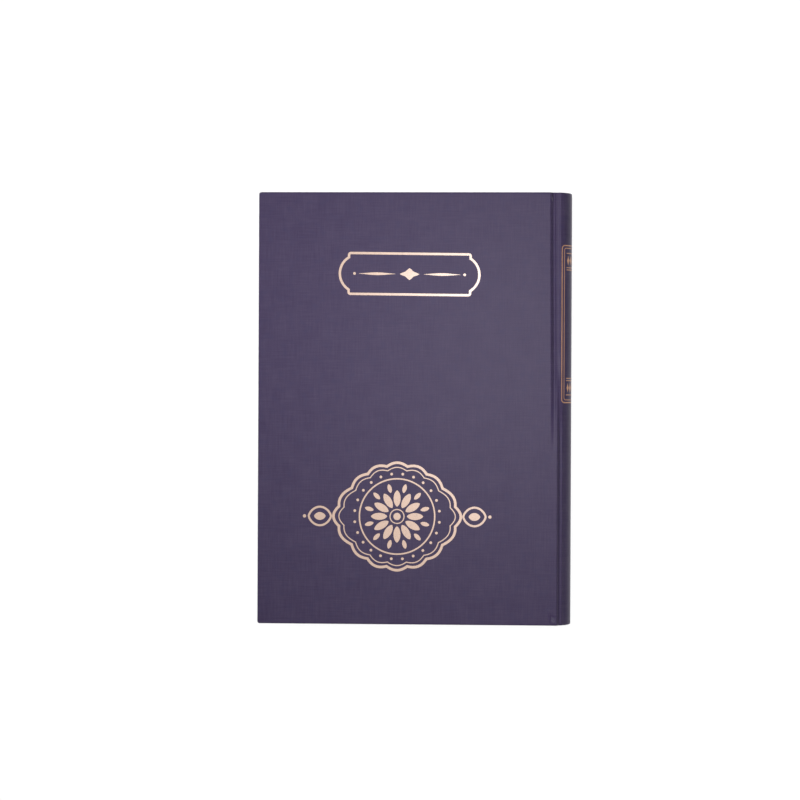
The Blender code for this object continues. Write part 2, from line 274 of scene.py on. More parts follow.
# %% Book cloth finish
THREAD_PITCH = 0.62 * MM
SLUB_SHIFT = 3.0
SLUB_STRETCH = (1300.0, 60.0)
CLOTH_DARK = (0.0432, 0.0281, 0.0797)
CLOTH_LIGHT = (0.0695, 0.0508, 0.1084)
CLOTH_BLUE = (0.0473, 0.0366, 0.0956)
CLOTH_WORN = (0.17, 0.155, 0.20)


def book_cloth():
    cloth = Finish("book_cloth", Specular_IOR_Level=0.14)
    place = cloth.flat_place()
    across, along, _ = cloth.split(place)
    slub_along = cloth.noise(place, 1.0, 3.0, (*SLUB_STRETCH, 1.0))
    slub_across = cloth.noise(place, 1.0, 3.0, (*SLUB_STRETCH[::-1], 1.0))
    mottle = cloth.noise(place, 70.0, 4.0)
    turn = 2 * math.pi / THREAD_PITCH
    warp = (across * turn + slub_along * SLUB_SHIFT).math("SINE")
    weft = (along * turn + slub_across * SLUB_SHIFT).math("SINE")
    weave = warp * weft * 0.25 + 0.5
    slubs = slub_along * 0.5 + slub_across * 0.5
    tone = ((slubs - 0.5) * 2.6 + (mottle - 0.5) * 0.8 + (weave - 0.5) * 0.5 + 0.5).clamp()
    hue = ((cloth.noise(place, 190.0, 3.0) - 0.5) * 2.4).clamp(0.0, 0.6)
    dyed = cloth.mix(hue, cloth.mix(tone, CLOTH_DARK, CLOTH_LIGHT), CLOTH_BLUE)
    patchy = cloth.noise(place, 420.0, 4.0)
    rubbed = (cloth.wear() * 1.5 + patchy * 1.6 - 1.45).clamp()
    colour = cloth.mix(rubbed, dyed, CLOTH_WORN)
    roughness = slubs * 0.12 + rubbed * 0.12 + 0.29
    return cloth.made(colour, roughness, weave * 0.6 + slubs * 0.8, 0.07 * MM, 0.5)


cloth_finish = book_cloth()
print("book cloth with", round(10 * MM / THREAD_PITCH), "threads to the centimetre")

# %% [markdown]
# ## Papers and boards
#
# The pages are a cream writing paper, ruled for accounts: feint lines across, columns down. The
# endsheets are a stouter, whiter paper. The rulings are worked out from the page's own flat
# coordinates, so they stop at the margins and bend with the leaf. The cut edges take up dust, each
# leaf a little more or less than the next, which is what makes a block of leaves look like leaves.

# %% Ledger paper finish
LEDGER_CREAM = (0.83, 0.78, 0.68)
LEDGER_CREAM_DARK = (0.76, 0.70, 0.59)
EDGE_DUST = (0.62, 0.53, 0.41)
EDGE_WIDTH = 0.2 * MM
PAGE_HALF_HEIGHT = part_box("section_01_leaves")[1].y
FEINT_BLUE = (0.36, 0.47, 0.62)
COLUMN_RED = (0.62, 0.22, 0.20)
FEINT_PITCH = 8.0 * MM
FEINT_WIDTH = 0.28 * MM
FEINT_ACROSS = (8 * MM, 196 * MM)
FEINT_ALONG = (-132 * MM, 118 * MM)
COLUMN_WIDTH = 0.35 * MM
COLUMN_ALONG = (-132 * MM, 130 * MM)
COLUMNS = tuple(value * MM for value in (24, 25.2, 52, 118, 119.2, 148, 178))


def between(value, low, high):
    """1 where a wire lies between two numbers, 0 elsewhere."""
    return value.math("GREATER_THAN", low) * value.math("LESS_THAN", high)


def ledger_paper():
    paper = Finish("ledger_paper", Specular_IOR_Level=0.25)
    place = paper.flat_place()
    across, along, _ = paper.split(place)
    cloud = paper.noise(place, 60.0, 5.0)
    fibre = paper.noise(place, 1.0, 4.0, (2600.0, 700.0, 1.0))
    blank = paper.mix(cloud * 0.5 + fibre * 0.5, LEDGER_CREAM_DARK, LEDGER_CREAM)
    at_ends = along.math("ABSOLUTE").math("GREATER_THAN", PAGE_HALF_HEIGHT - EDGE_WIDTH)
    on_edge = at_ends.math("MAXIMUM", across.math("LESS_THAN", EDGE_WIDTH))
    blank = paper.mix(on_edge * paper.wear(), blank, EDGE_DUST)
    row = ((along / FEINT_PITCH).math("FRACT") - 0.5).math("ABSOLUTE")
    feint = row.math("LESS_THAN", FEINT_WIDTH / FEINT_PITCH / 2)
    feint = feint * between(along, *FEINT_ALONG) * between(across, *FEINT_ACROSS)
    columns = 0.0
    for place_of_line in COLUMNS:
        columns = (across - place_of_line).math("ABSOLUTE").math("LESS_THAN", COLUMN_WIDTH / 2) + columns
    columns = columns * between(along, *COLUMN_ALONG)
    ruled = paper.mix(feint * (fibre * 0.5 + 0.35), blank, FEINT_BLUE)
    ruled = paper.mix(columns * (fibre * 0.5 + 0.45), ruled, COLUMN_RED)
    return paper.made(ruled, fibre * 0.15 + 0.75, fibre, 0.02 * MM, 0.3)


ledger_finish = ledger_paper()
print("ledger paper with", len(COLUMNS), "column rules and a line every", FEINT_PITCH / MM, "mm")

# %% [markdown]
# Endsheet, board, card and lining differ only in colour and coarseness, so one function makes all
# four. The endsheet is a new surface with a flat place of its own; the others are solids of the frame
# and take their pattern from the place in the object.

# %% Endsheet, boards and lining
FIBROUS = {
    "endsheet": ((0.74, 0.72, 0.66), (0.84, 0.83, 0.78), 0.72, 45.0, 1800.0, 0.03 * MM),
    "greyboard": ((0.22, 0.19, 0.15), (0.36, 0.32, 0.26), 0.85, 120.0, 1500.0, 0.06 * MM),
    "spine_card": ((0.36, 0.31, 0.24), (0.47, 0.42, 0.34), 0.85, 90.0, 1500.0, 0.05 * MM),
    "kraft_paper": ((0.30, 0.19, 0.10), (0.42, 0.28, 0.16), 0.8, 80.0, 1600.0, 0.03 * MM),
}


def fibrous(name, dark, light, roughness, cloud_scale, fibre_scale, depth):
    """A paper or board: clouds in its colour and short fibres on its face."""
    stuff = Finish(name, Specular_IOR_Level=0.25)
    place = stuff.flat_place() if name == "endsheet" else stuff.object_place()
    cloud = stuff.noise(place, cloud_scale, 5.0)
    fibre = stuff.noise(place, 1.0, 4.0, (fibre_scale, fibre_scale * 0.3, fibre_scale))
    colour = stuff.mix(cloud * 0.5 + fibre * 0.5, dark, light)
    return stuff.made(colour, fibre * 0.12 + roughness, fibre, depth, 0.4)


finishes = {name: fibrous(name, *values) for name, values in FIBROUS.items()}
print("papers and boards:", *finishes)

# %% [markdown]
# ## Gauze, thread and silk
#
# The mull is an open gauze, so its weave shows as a square net. The thread has a twist, and the silk
# of the headband changes colour every few wraps, which its own flat coordinate counts.

# %% Woven finishes
GAUZE_PITCH = 1.1 * MM
GAUZE_COLOURS = (0.38, 0.34, 0.26), (0.70, 0.66, 0.55)
TWIST_PITCH = 0.5 * MM
THREAD_COLOURS = (0.55, 0.50, 0.40), (0.80, 0.76, 0.66)
WRAPS_PER_COLOUR = 3.0
SILK_COLOURS = (0.045, 0.030, 0.085), (0.70, 0.64, 0.50)


def gauze():
    net = Finish("gauze", Specular_IOR_Level=0.2)
    across, along, _ = net.split(net.object_place())
    turn = 2 * math.pi / GAUZE_PITCH
    threads = (across * turn).math("SINE").math("MAXIMUM", (along * turn).math("SINE"))
    height = threads * 0.5 + 0.5
    return net.made(net.mix(height, *GAUZE_COLOURS), threads * 0.05 + 0.9, height, 0.1 * MM, 0.6)


def linen_thread():
    thread = Finish("linen_thread", Specular_IOR_Level=0.3)
    _, along, height = thread.split(thread.object_place())
    twist = ((height + along) * (2 * math.pi / TWIST_PITCH)).math("SINE") * 0.5 + 0.5
    return thread.made(thread.mix(twist, *THREAD_COLOURS), twist * 0.1 + 0.75, twist, 0.05 * MM, 0.6)


def headband_silk():
    silk = Finish("headband_silk", Specular_IOR_Level=0.5)
    wraps, _, _ = silk.split(silk.flat_place())
    pale = (wraps / (2 * WRAPS_PER_COLOUR)).math("FRACT").math("GREATER_THAN", 0.5)
    strand = (wraps * (2 * math.pi)).math("COSINE") * 0.5 + 0.5
    grain = silk.noise(silk.object_place(), 9000.0)
    return silk.made(silk.mix(pale, *SILK_COLOURS), strand * 0.1 + 0.38, grain, 0.02 * MM, 0.5)


finishes["gauze"] = gauze()
finishes["linen_thread"] = linen_thread()
silk_finish = headband_silk()
print("woven finishes: gauze, linen_thread,", silk_finish.name)

# %% [markdown]
# ## Gold foil
#
# Foil is a metal film under a clear lacquer, pressed into the cloth with a hot die. The film mirrors
# softly in its own colour and the lacquer adds a white glare. It is never quite even, and where the
# weave is deep the film breaks and the cloth shows as small pits. On the spine, which hands rub, the
# lacquer is gone and the film looks like copper.

# %% Foil finishes
FOIL_GOLD = (0.35, 0.25, 0.198)
FOIL_DEEP = (0.265, 0.182, 0.139)
FOIL_COPPER = (0.44, 0.25, 0.162)
FOIL_COPPER_DEEP = (0.24, 0.13, 0.083)
LACQUER_ROUGHNESS = 0.2


def gold_foil(name, deep, light, lacquer):
    foil = Finish(name, Coat_Weight=lacquer, Coat_Roughness=LACQUER_ROUGHNESS)
    place = foil.object_place()
    cloud = foil.noise(place, 160.0, 4.0)
    grain = foil.noise(place, 2200.0, 3.0)
    pits = ((grain + cloud * 0.35 - 0.86) * 9.0).clamp()
    foil.set(Metallic=1 - pits)
    colour = foil.mix(pits, foil.mix(cloud, deep, light), CLOTH_LIGHT)
    return foil.made(colour, grain * 0.2 + cloud * 0.12 + 0.25, grain, 0.03 * MM, 0.35)


foil_finish = gold_foil("gold_foil", FOIL_DEEP, FOIL_GOLD, 1.0)
rubbed_foil_finish = gold_foil("rubbed_foil", FOIL_COPPER_DEEP, FOIL_COPPER, 0.0)
print("foil finishes", foil_finish.name, rubbed_foil_finish.name)

# %% [markdown]
# ## The cloth of the covers
#
# On the bench a rectangle of cloth is glued over the board, folded round its edges and turned in on
# the inside, with a mitre at each corner. The surface does the same: a flat grid runs past the board,
# and a profile says where the overhang goes, first out and round the edge, then back underneath.

# %% Profile of the turned-in edge
CORNER_RADIUS = 1.65 * MM
EDGE_RADIUS = 0.9 * MM
TURN_IN = 15 * MM
COVER_DEPTH = book_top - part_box("front_cover_cloth")[0].z


def lengths(path):
    """How far along a path each of its points lies."""
    return np.concatenate([[0.0], np.cumsum(np.linalg.norm(np.diff(path, axis=0), axis=1))])


def turn_in_profile():
    """How cloth runs from a corner's centre line over the edge: outward reach, drop, and length so far.

    Flat out to the edge, a quarter circle over it, straight down, a quarter circle under, flat back in.
    """
    quarter = np.linspace(0, math.pi / 2, 7)[1:]
    sine, cosine = EDGE_RADIUS * np.sin(quarter), EDGE_RADIUS * np.cos(quarter)
    start = CORNER_RADIUS - EDGE_RADIUS
    wall = COVER_DEPTH - 2 * EDGE_RADIUS
    profile = np.concatenate([
        grid([0.0, start], 0.0),
        grid(start + sine, EDGE_RADIUS - cosine),
        grid(CORNER_RADIUS, EDGE_RADIUS + wall * np.array([0.5, 1.0])),
        grid(start + cosine, EDGE_RADIUS + wall + sine),
        grid(np.linspace(start, CORNER_RADIUS - TURN_IN, 9)[1:], COVER_DEPTH),
    ])
    return profile[:, 0], profile[:, 1], lengths(profile)


print("cloth runs", round(turn_in_profile()[2][-1] / MM, 1), "mm past the corner's centre line")

# %% [markdown]
# In a corner two overhangs meet, and the further one wins, which gives the round corner outside and the
# mitre inside. Edges and corners are where a cover is rubbed, so each point also says how worn it is.

# %% Cover cloth
CLOTH = 0.42 * MM
FACE_BORDER = 8 * MM
RUBBED_STEP = 5
RUBBED_WIDTH = 0.8 * MM
RUBBED_CORNER = 5 * MM
SEAM_X = (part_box("front_cover_cloth")[1].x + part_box("front_joint_cloth")[0].x) / 2
FORE_EDGE_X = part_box("front_cover_cloth")[0].x


def bell(distance, width):
    """A bell curve: 1 at no distance, and a little over a third at one width."""
    return np.exp(-((distance / width) ** 2))


def spread(start, *stretches):
    """One array of values: a start, then stretches given as (end, steps)."""
    values = [np.array([start])]
    for end, steps in stretches:
        values.append(np.linspace(values[-1][-1], end, steps + 1)[1:])
    return np.concatenate(values)


def turned_over(points):
    """The same points for the back half: turned half round about the book's middle plane."""
    return points * np.array([1.0, -1.0, -1.0]) + np.array([0.0, 0.0, book_top])


def cover_cloth():
    """Points, flat places and wear of one cover's cloth, as a grid over the cut cloth.

    A column or row past the corner's centre line has a profile step; a point takes the larger step of
    its two. Its direction outwards turns from one edge to the other by the ratio of the steps.
    """
    reach, drop, length = turn_in_profile()
    hem = len(reach) - 1
    left = FORE_EDGE_X + CORNER_RADIUS
    end = half_height - CORNER_RADIUS
    face_x = spread(left, (left + FACE_BORDER, 4), (SEAM_X - FACE_BORDER, 40), (SEAM_X, 6))
    base_x = np.pad(face_x, (hem, 0), "edge")[None, :]
    base_y = np.pad(np.linspace(-end, end, 65), hem, "edge")[:, None]
    row = np.arange(base_y.size)[:, None]
    step_x = np.maximum(hem - np.arange(base_x.size), 0)[None, :]
    step_y = np.maximum(hem - np.minimum(row, row[::-1]), 0)
    step = np.maximum(step_x, step_y)
    ratio = np.minimum(step_x, step_y) / np.maximum(step, 1)
    turn = np.where(step_x >= step_y, ratio, 2 - ratio) * math.pi / 4
    out = np.maximum(reach[step], 0.0)
    back = np.maximum(-reach[step], 0.0)
    x = base_x - out * np.cos(turn)
    y = base_y + np.sign(base_y) * out * np.sin(turn)
    x = np.where(back > 0, np.maximum(x, left + back), x)
    y = np.where(back > 0, np.clip(y, -(end - back), end - back), y)
    flat = grid(base_x - length[step_x], base_y + np.sign(base_y) * length[step_y])
    on_edge = bell(length[step] - length[RUBBED_STEP], RUBBED_WIDTH)
    corner = np.exp(-np.hypot(x - FORE_EDGE_X, np.abs(y) - half_height) / RUBBED_CORNER)
    return grid(x, y, book_top - drop[step]), flat, on_edge * (0.45 + 0.5 * corner)


SIDES = {"front": np.array, "back": turned_over}
cover_points, cover_flat, cover_wear = cover_cloth()
for side, place in SIDES.items():
    name = f"{side}_cover_wrap"
    wrap = sheet(name, place(cover_points), cover_flat, cover_wear, cloth_finish, "book_cloth", CLOTH)
    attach(wrap, f"{side}_cover")
    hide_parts(f"{side}_cover_cloth")

# %% [markdown]
# ## The joint and the spine
#
# The spine of the case is rounded, so its face is an arc across the book's thickness. On this used book
# its edge stands proud at the tail as a low bead, which a smooth step fades out towards the head. A
# plain strip could be bent into the arc, but a formula gives the bead with it.

# %% Face of the spine
SPINE_RADIUS = 13.2 * MM
SPINE_HALF_ANGLE = math.radians(68)
SPINE_CENTRE_X = cad_high.x - SPINE_RADIUS
MIDDLE_Z = book_top / 2
RIDGE_X = SPINE_CENTRE_X + SPINE_RADIUS * math.cos(SPINE_HALF_ANGLE)
RIDGE_Z = MIDDLE_Z + SPINE_RADIUS * math.sin(SPINE_HALF_ANGLE)
TAIL_START = 45 * MM
TAIL_LENGTH = 90 * MM
BEAD_X = 103.4 * MM
BEAD_WIDTH = 0.8 * MM
BEAD_HEIGHT = 0.42 * MM
DIP_WIDTH = 0.7 * MM
DIP_DEPTH = 0.3 * MM


def ease(t):
    """A smooth step from 0 to 1 that starts and ends level."""
    t = np.clip(t, 0.0, 1.0)
    return t * t * (3 - 2 * t)


def tail_share(y):
    """0 at the head and 1 at the tail, with a smooth step between them."""
    return ease((TAIL_START - y) / TAIL_LENGTH)


def spine_bead(x, y):
    """How far the edge stands proud at the tail: a bell for the bead, less a bell for the dip beside it."""
    proud = BEAD_HEIGHT * bell(x - BEAD_X, BEAD_WIDTH) - DIP_DEPTH * bell(x - RIDGE_X, DIP_WIDTH)
    return proud * tail_share(y)


def spine_face(angle, y, proud=0.0):
    """Places on the spine: a point on its arc, so far proud of it, moved by the bead of its own half."""
    x = SPINE_CENTRE_X + (SPINE_RADIUS + proud) * np.cos(angle)
    z = MIDDLE_Z + (SPINE_RADIUS + proud) * np.sin(angle)
    half = np.sign(angle)
    return np.broadcast_arrays(x, z + half * spine_bead(x, half * y))


print("ridge at", round(RIDGE_X / MM, 2), "mm across and", round(RIDGE_Z / MM, 2), "mm up")

# %% [markdown]
# Between board and spine the cloth dips into a groove, where the cover hinges, and climbs to the
# shoulder of the spine. The groove isn't even on a used book: here it runs close to the board at the
# head and close to the spine at the tail, with small creases at both ends. Straight lines with a bell
# across them make the creases, and smooth steps make the rest.

# %% Face of the joint
GROOVE_DROP = 1.95 * MM
BOARD_STEP = 1.75 * MM
STEP_START = 0.6 * MM
STEP_DRIFT = 0.9 * MM
STEP_AT_BOARD = 2.9 * MM
SAG_START = 97.0 * MM
SAG_WIDTH = 3.6 * MM
SWELL = 0.18 * MM
SWELL_END = 99.5 * MM
STEP_AT_SPINE = 2.2 * MM
LIP_X = 97.3 * MM
LIP_WIDTH = 0.6 * MM
LIP_HEIGHT = 0.2 * MM
SHOULDER_START = 100.0 * MM
SHOULDER_SHIFT = 0.7 * MM
# Each crease has the x and y of its start and of its end, its width and its height.
CREASES = MM * np.array([
    (94.9, 151.0, 96.3, 143.0, 0.4, 0.4),
    (94.3, -140.5, 95.6, -149.5, 0.6, 0.3),
    (95.2, -148.4, 99.6, -150.2, 0.5, 0.3),
    (94.9, -144.2, 99.0, -146.6, 0.6, -0.25),
])


def crease(x, y, start_x, start_y, end_x, end_y, width, height):
    """A soft ridge along a straight line between two points, fading at its ends."""
    way_x, way_y = end_x - start_x, end_y - start_y
    share = ((x - start_x) * way_x + (y - start_y) * way_y) / (way_x**2 + way_y**2)
    held = np.clip(share, 0, 1)
    away = np.hypot(x - start_x - held * way_x, y - start_y - held * way_y)
    return height * bell(away, width) * np.sin(math.pi * np.clip(share, 0.04, 0.96))


def joint_height(x, y):
    """Height of the outer cloth over the joint: a drop into the groove and a rounded climb to the ridge.

    At the head the cloth steps down beside the board and keeps a low lip, a bell curve, and both drift
    from the board further down. At the tail it swells a little and steps down beside the spine. A
    smooth step climbs from the groove to the ridge, where the cloth folds over the spine's card.
    """
    tail = tail_share(y)
    drift = STEP_DRIFT * ease((half_height - y) / half_height)
    at_board = BOARD_STEP * ease((x - SEAM_X - STEP_START - drift) / STEP_AT_BOARD)
    at_board = at_board + (GROOVE_DROP - BOARD_STEP) * ease((x - SAG_START) / SAG_WIDTH)
    swell = SWELL * ease((x - SEAM_X) / (SWELL_END - SEAM_X))
    at_spine = (GROOVE_DROP + SWELL) * ease((x - SWELL_END) / STEP_AT_SPINE) - swell
    lip = LIP_HEIGHT * bell(x - LIP_X - drift, LIP_WIDTH) * (1 - tail)
    fall = at_board * (1 - tail) + at_spine * tail - lip
    climb_width = RIDGE_X - SHOULDER_START - SHOULDER_SHIFT * tail
    climb = (RIDGE_Z - book_top + GROOVE_DROP) * ease(1 - (RIDGE_X - x) / climb_width)
    folds = sum(crease(x, y, *line) for line in CREASES)
    return book_top - fall + climb + folds + spine_bead(x, y)


print("seam at", round(SEAM_X / MM, 2), "mm, groove", GROOVE_DROP / MM, "mm deep,", len(CREASES), "creases")

# %% [markdown]
# Head and tail of the case are turned in as on the boards, in the groove over nothing but themselves
# and on the spine over a card. Joint and spine are strips of one kind: a face, a roll at each end and
# a hem inside.

# %% Strips of the case
HEM_END = 2 * MM
END_ROWS = 16 * MM
END_RUBBED = 0.6 * MM


def end_rows():
    """Rows from the tail's hem over its roll to the open face, with four numbers each.

    The first two give the row's place, the end minus an inset minus a share of the roll's radius. The
    others give its depth under the outer cloth, a share of the whole depth plus a share of the radius.
    """
    roll = np.concatenate([np.linspace(math.pi, math.pi / 2, 7), np.linspace(math.pi / 2, 0, 7)])
    under = np.repeat([1.0, 0.0], 7)
    hem = grid(np.linspace(TURN_IN, HEM_END, 5), 0.0, 1.0, 0.0)
    return np.concatenate([hem, grid(0.0, 1 - np.sin(roll), under, 1 - 2 * under - np.cos(roll))])


def case_strip(x, outer, inward, lower):
    """A strip of the case: outer face, rolled head and tail, and turned-in hems.

    x and inward (an angle below the level for each column) run across; outer(x, y) gives the face's
    places, and lower the depth of the hem under their heights.
    """
    ends = end_rows()
    whole_height = half_height * 2
    face = spread(HEM_END, (END_ROWS, 16), (whole_height - END_ROWS, 110), (whole_height - HEM_END, 16))
    rows = np.concatenate([ends, grid(whole_height - face, 0.0, 0.0, 0.0), ends[::-1]])
    inset, radius_in, depth_all, depth_radius = rows.T[:, :, None]
    side = np.where(np.arange(len(rows)) < len(ends), -1.0, 1.0)[:, None]
    nominal_y = side * (half_height - inset)
    face_x, face_z = outer(x[None, :], nominal_y)
    whole = lower(face_z)
    radius = np.minimum(EDGE_RADIUS, whole / 2)
    y = side * (half_height - inset - radius_in * radius)
    depth = depth_all * whole + depth_radius * radius
    points = grid(face_x + depth * np.cos(inward), y, face_z - depth * np.sin(inward))
    flat = grid(lengths(points[len(points) // 2])[None, :], nominal_y - side * depth)
    on_end = bell(half_height - np.abs(points[..., 1]), END_RUBBED)
    return points, flat, 0.5 * on_end


print(len(end_rows()), "rows over each end of a strip")

# %% [markdown]
# The joint lies between the spine and its cover, so it is a piece of its own. The spine's
# strip begins where the joint's ends, and the threads of the cloth run on from one to the other.

# %% Joint and spine cloth
JOINT_CLOTH = CLOTH * 0.9
SPINE_DEPTH = 1.9 * MM
HEM_SAG = 0.2 * MM
STEP_RUBBED_AT = 1.2 * MM
STEP_RUBBED_WIDTH = 0.7 * MM
STEP_RUBBED_END = 9 * MM
CREASE_RUBBED_WIDTH = 0.5 * MM


def joint_strip():
    """The joint's strip, rubbed near its ends where it leaves the board, and along the head's crease."""
    x = np.linspace(SEAM_X, RIDGE_X, 61)
    share = (x - SEAM_X) / (RIDGE_X - SEAM_X)
    tilt = ease((x - SHOULDER_START) / (RIDGE_X - SHOULDER_START)) * (math.pi / 2 - SPINE_HALF_ANGLE)
    inward = math.pi / 2 + tilt
    low_start = book_top - COVER_DEPTH
    low_end = RIDGE_Z - SPINE_DEPTH * math.sin(SPINE_HALF_ANGLE)
    low = low_start + (low_end - low_start) * share + HEM_SAG * np.sin(math.pi * share)
    points, flat, wear = case_strip(
        x,
        lambda place, y: np.broadcast_arrays(place, joint_height(place, y)),
        inward,
        lambda face_z: (face_z - low) / np.sin(inward),
    )
    flat[..., 0] += SEAM_X
    rubbed = 0.55 * bell(points[..., 0] - SEAM_X - STEP_RUBBED_AT, STEP_RUBBED_WIDTH)
    ends = np.exp(-(half_height - np.abs(points[..., 1])) / STEP_RUBBED_END)
    creased = crease(points[..., 0], points[..., 1], *CREASES[0, :4], CREASE_RUBBED_WIDTH, 0.9)
    return points, flat, np.maximum(np.maximum(wear, rubbed * ends), creased)


joint_points, joint_flat, joint_wear = joint_strip()
for side, place in SIDES.items():
    name = f"{side}_joint_wrap"
    strip = sheet(name, place(joint_points), joint_flat, joint_wear, cloth_finish, "book_cloth", JOINT_CLOTH)
    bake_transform(strip)
    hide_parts(f"{side}_joint_cloth")

arc = np.linspace(SPINE_HALF_ANGLE, -SPINE_HALF_ANGLE, 121)
spine_points, spine_flat, spine_wear = case_strip(arc, spine_face, math.pi - arc, lambda face_z: SPINE_DEPTH)
spine_flat[..., 0] += joint_flat[len(joint_flat) // 2, -1, 0]
spine = sheet("spine_wrap", spine_points, spine_flat, spine_wear, cloth_finish, "book_cloth", CLOTH)
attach(spine, "spine")
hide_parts("spine_cloth")

# %% [markdown]
# ## Pages
#
# A section is six sheets folded once, one inside the other, so it has twelve leaves. Each sheet is a
# path: along the lower leaf, round the fold, and back along the upper leaf. The leaves lie a little
# looser away from the fold, which closes the gaps between sections at the fore-edge. Each section's
# paths have close points at its gutter, the place of its turn joint, between the sewn back and the leaves.

# %% Sections of folded sheets
SHEETS = 6
SECTIONS = [f"section_{number:02d}" for number in range(1, 17)]
PAPER = 0.058 * MM
LOOSER = 0.15
SETTLE = 22 * MM
SLIP = 0.03 * MM
SHORTER_BY_SLIP = 0.3
DRAWN_LENGTH = 60 * MM
chance = np.random.default_rng(7)
leaf_boxes = [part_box(f"{section}_leaves") for section in reversed(SECTIONS)]
middles_and_edges = [((low.z + high.z) / 2, low.x) for low, high in leaf_boxes]


def hollow_edge(z):
    """Where the hollow fore-edge lies at a height: straight lines between the middles of the sections.

    At both ends the line runs on by one section.
    """
    levels, edges = np.pad(middles_and_edges, ((1, 1), (0, 0)), "reflect", reflect_type="odd").T
    return np.interp(z, levels, edges)


def section_sheets(section, gutter, middle):
    """Points, flat places and dust of a section's folded sheets, as sheet by row by path step.

    A sheet's path runs in from the fore-edge at minus its own offset, round a half circle of that
    radius, and out again at plus the offset, which grows with the distance from the gutter. Near the
    fore-edge a leaf is drawn out or in to meet the hollow edge at its own height, give or take a slip.
    """
    low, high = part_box(f"{section}_leaves")
    half = (high.z - low.z) / 2
    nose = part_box(f"{section}_fold")[1].x - half
    leaf = spread(low.x, (gutter - 30 * MM, 4), (gutter - 1.2 * MM, 4), (gutter + 0.2 * MM, 8), (nose, 3))
    bend = np.linspace(-math.pi / 2, math.pi / 2, 9)[1:-1]
    path_x = np.concatenate([leaf, np.full(len(bend), nose), leaf[::-1]])
    out = np.pad(np.cos(bend), len(leaf))
    up = np.concatenate([-np.ones(len(leaf)), np.sin(bend), np.ones(len(leaf))])
    looser = 1 + LOOSER * ease((gutter - path_x) / SETTLE)
    offset = (half * (np.arange(SHEETS) + 0.5) / SHEETS)[:, None, None]
    y = np.linspace(low.y, high.y, 7)[None, :, None]
    slip = chance.normal(0, SLIP, (SHEETS, 1, 1))
    lower_dust, upper_dust = chance.random((2, SHEETS, 1, 1))
    z = middle + up * offset * looser
    drawn = ease(1 - (path_x - low.x) / DRAWN_LENGTH)
    x = path_x + out * offset + (hollow_edge(z) - low.x + slip) * drawn
    slipped_y = y * (1 - SHORTER_BY_SLIP * np.abs(slip))
    sheets = grid(x, slipped_y, z, path_x - low.x, y, np.where(up < 0, lower_dust, upper_dust))
    return sheets[..., :3], sheets[..., 3:5], sheets[..., 5]


for section in SECTIONS:
    leaves = f"{section}_leaves"
    gutter, _, middle = joint_place[f"{section}_turn"]
    pages = section_sheets(section, gutter, middle)
    paper = sheet(f"{section}_paper", *pages, ledger_finish, "ledger_paper", PAPER, 0)
    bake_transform(paper)
    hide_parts(leaves, f"{section}_fold")

# %% [markdown]
# ## Endpapers
#
# An endpaper is a folded sheet. One half, the pastedown, is glued inside the board, where the turned-in
# cloth and the gauze show through it as low steps. A flat sheet would do, but the steps catch the light.

# %% Shape of the pastedown
ENDPAPER = 0.16 * MM
STEP_WIDTH = 1.6 * MM
STEP_HEIGHT = 0.34 * MM
FLANGE_STEP = 0.18 * MM


def corners(node):
    """The low and the high corner of a node's box, as arrays."""
    return [np.array(corner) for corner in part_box(node)]


def pastedown_points():
    """The pastedown's upper face: level over the turned-in cloth, and stepped up inside it.

    The step up is a product of smooth steps at the three hems; over the gauze it is less.
    """
    low, high = corners("front_pastedown")
    gauze_low, gauze_high = corners("front_mull_flange")
    net_x, net_y = gauze_low[0], gauze_high[1]
    hem_x = FORE_EDGE_X + TURN_IN
    hem_y = half_height - TURN_IN
    near_hem = (hem_x - STEP_WIDTH, 6), (hem_x + 2 * STEP_WIDTH, 12)
    near_net = (net_x - STEP_WIDTH, 30), (net_x + STEP_WIDTH, 8)
    x = spread(low[0], *near_hem, *near_net, (high[0], 10))[None, :]
    near_net = (net_y - STEP_WIDTH, 24), (net_y + STEP_WIDTH, 8)
    near_hem = (hem_y - 2 * STEP_WIDTH, 3), (hem_y + STEP_WIDTH, 12)
    half = spread(0.0, *near_net, *near_hem, (high[1], 6))
    y = np.concatenate([-half[:0:-1], half])[:, None]
    window = ease((x - hem_x) / STEP_WIDTH) * ease((hem_y - np.abs(y)) / STEP_WIDTH)
    net = ease((x - net_x) / STEP_WIDTH + 0.5) * ease((net_y - np.abs(y)) / STEP_WIDTH + 0.5)
    return grid(x, y, low[2] + ENDPAPER + (STEP_HEIGHT - FLANGE_STEP * net) * window)


print("pastedown with steps of", STEP_HEIGHT / MM, "mm inside the hems")

# %% [markdown]
# The other half is the flyleaf. A narrow guard between the halves covers the joint
# from inside and is glued along the first section. Both bend where they leave it.

# %% Endpapers
GUARD = ENDPAPER * 0.8
FLYLEAF_FALL = 1.6 * MM
GLUED_WIDTH = 5 * MM
GUARD_SHORTER = 1.5 * MM
fold_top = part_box("section_01_fold")[1].z


def flyleaf_points(hinge, level):
    """The flyleaf's middle face: level from the fore-edge to its hinge, then down onto the first fold."""
    low, high = corners("front_flyleaf")
    glued = fold_top + ENDPAPER * 0.6
    near_hinge = (hinge - 4 * MM, 24), (hinge + 0.2 * MM, 14), (hinge + 2 * MM, 6)
    x = spread(low[0], *near_hinge, (hinge + GLUED_WIDTH, 3))[None, :]
    y = np.linspace(low[1], high[1], 13)[:, None]
    return grid(x, y, level + (glued - level) * ease((x - hinge) / FLYLEAF_FALL))


